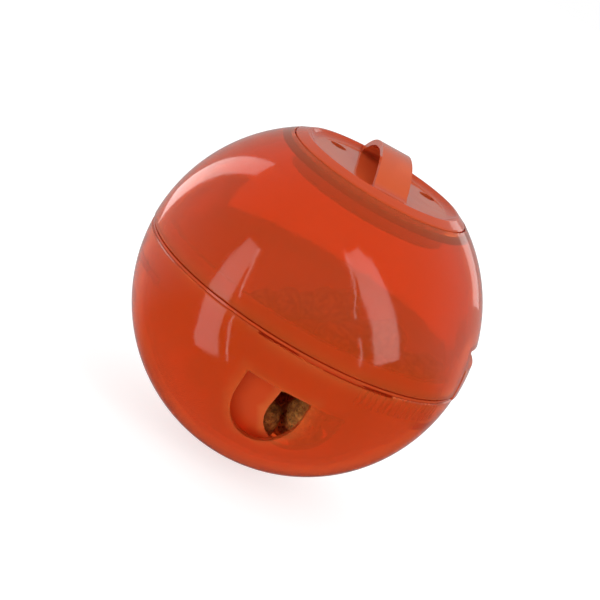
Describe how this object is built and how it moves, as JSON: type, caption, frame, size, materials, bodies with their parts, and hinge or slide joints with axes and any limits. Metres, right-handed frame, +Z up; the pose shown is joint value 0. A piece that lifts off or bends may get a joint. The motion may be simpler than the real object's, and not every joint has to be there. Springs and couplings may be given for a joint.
{
  "type": "treat dispensing ball",
  "caption": "Hollow ball that lets dry treats fall out of a window as it rolls; an inner shutter ring sets the opening and a cap with a strap handle closes the fill mouth.",
  "frame": {"origin": "lowest point of the ball, where it touches the floor", "axes": "+Z up along the ball's axis towards the strap handle, -Y out through the middle of the window"},
  "size_m": [0.0764, 0.0762, 0.0766],
  "materials": {
    "shell_plastic": "glossy translucent orange-red moulding",
    "ring_plastic": "glossy translucent orange-red moulding",
    "cap_plastic": "glossy translucent orange-red moulding",
    "kibble": "dry baked crumb"
  },
  "bodies": {
    "lower_half": {"lower_shell": "shell_plastic", "kibble": "kibble"},
    "ring": {"shutter_ring": "ring_plastic"},
    "upper_half": {"upper_shell": "shell_plastic"},
    "cap": {"fill_cap": "cap_plastic"}
  },
  "joints": [
    {"name": "opening_turn", "type": "hinge", "parent": "lower_half", "child": "ring", "pos_m": [0, 0, 0.038], "axis": [0, 0, 1], "range_deg": [-13.8, 11.2]},
    {"name": "upper_shell_lift", "type": "slide", "parent": "ring", "child": "upper_half", "axis": [0, 0, 1], "range_m": [0, 0.02]},
    {"name": "cap_lift", "type": "slide", "parent": "upper_half", "child": "cap", "axis": [0, 0, 1], "range_m": [0, 0.03]}
  ]
}
